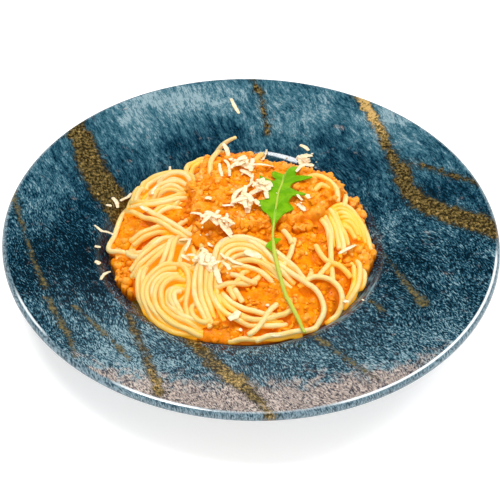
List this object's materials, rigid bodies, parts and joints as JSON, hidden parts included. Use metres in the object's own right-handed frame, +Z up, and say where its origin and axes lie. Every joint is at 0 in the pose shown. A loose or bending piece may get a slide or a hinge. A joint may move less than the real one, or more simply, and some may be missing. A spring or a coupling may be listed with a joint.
{
  "type": "plate of spaghetti bolognese",
  "caption": "Spaghetti bolognese with grated cheese and a rocket leaf, heaped in the well of a dark blue stoneware plate with a wide sloping rim.",
  "frame": {"origin": "centre of the rim's circle, on the surface that the plate's foot ring stands on", "axes": "+Z up, -Y towards the diner, +X to the diner's right"},
  "size_m": [0.27, 0.27, 0.0591],
  "materials": {
    "glaze": "glossy dark blue reactive glaze with brown and gold veins",
    "pasta": "cooked durum wheat pasta, moist and slightly glossy",
    "sauce": "oily tomato and minced meat sauce, lumpy and glossy",
    "leaf": "fresh rocket leaf, satin",
    "cheese": "grated hard cheese, matt"
  },
  "bodies": {
    "root": {"plate": "glaze", "spaghetti": "pasta", "bolognese_sauce_pile": "sauce", "bolognese_sauce_front": "sauce", "bolognese_sauce_right": "sauce", "bolognese_sauce_left": "sauce", "rocket_leaf": "leaf"}
  },
  "joints": []
}
